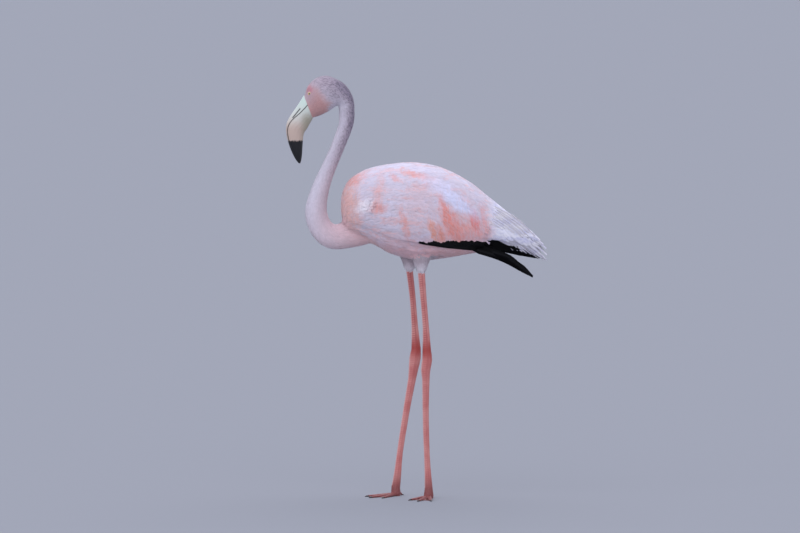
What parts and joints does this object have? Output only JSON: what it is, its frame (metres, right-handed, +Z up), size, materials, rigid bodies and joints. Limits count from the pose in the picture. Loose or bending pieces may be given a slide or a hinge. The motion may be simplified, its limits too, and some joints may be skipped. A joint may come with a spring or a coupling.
{
  "type": "flamingo",
  "caption": "Standing flamingo with an S-shaped neck, bent two-part bill, folded wings with dark flight feathers and long webbed legs.",
  "frame": {"origin": "on the floor, under the middle of the bird's bounding box", "axes": "+Z up the bird's height; the bird faces -X and its left side faces -Y"},
  "size_m": [0.5334, 0.1761, 0.867],
  "materials": {
    "body_feathers": "soft pale lavender-pink contour feathers, matt with a silky edge",
    "neck_feathers": "very short plush grey-lavender feathers with darker specks",
    "face_feathers": "short plush feathers, pink on the face and grey on the nape",
    "wing_coverts": "overlapping pale pink and salmon covert feathers",
    "flight_feathers": "stiff black vanes with a slight sheen",
    "leg_scales": "pink scaly skin, satin",
    "bill_horn": "smooth keratin, greenish white at the base, fawn in the middle and black at the tip",
    "claw_horn": "dark satin keratin",
    "eye": "pale yellow iris with a black pupil under a wet clear cornea"
  },
  "bodies": {
    "root": {"head": "face_feathers", "eye_left": "eye", "eye_right": "eye", "bill_upper": "bill_horn", "bill_lower": "bill_horn", "neck_1": "neck_feathers", "neck_2": "neck_feathers", "neck_3": "neck_feathers", "neck_4": "neck_feathers", "neck_5": "neck_feathers", "trunk": "body_feathers", "wing_left": "wing_coverts", "wing_right": "wing_coverts", "secondaries_left": "flight_feathers", "secondaries_right": "flight_feathers", "primaries_left": "flight_feathers", "primaries_right": "flight_feathers", "tertials_left": "body_feathers", "tertials_right": "body_feathers", "tail": "body_feathers", "thigh_left": "body_feathers", "thigh_right": "body_feathers", "shank_left": "leg_scales", "shank_right": "leg_scales", "tarsus_left": "leg_scales", "tarsus_right": "leg_scales", "foot_left": "leg_scales", "foot_right": "leg_scales", "claw_left_inner": "claw_horn", "claw_left_middle": "claw_horn", "claw_left_outer": "claw_horn", "claw_left_hind": "claw_horn", "claw_right_inner": "claw_horn", "claw_right_middle": "claw_horn", "claw_right_outer": "claw_horn", "claw_right_hind": "claw_horn"}
  },
  "joints": []
}
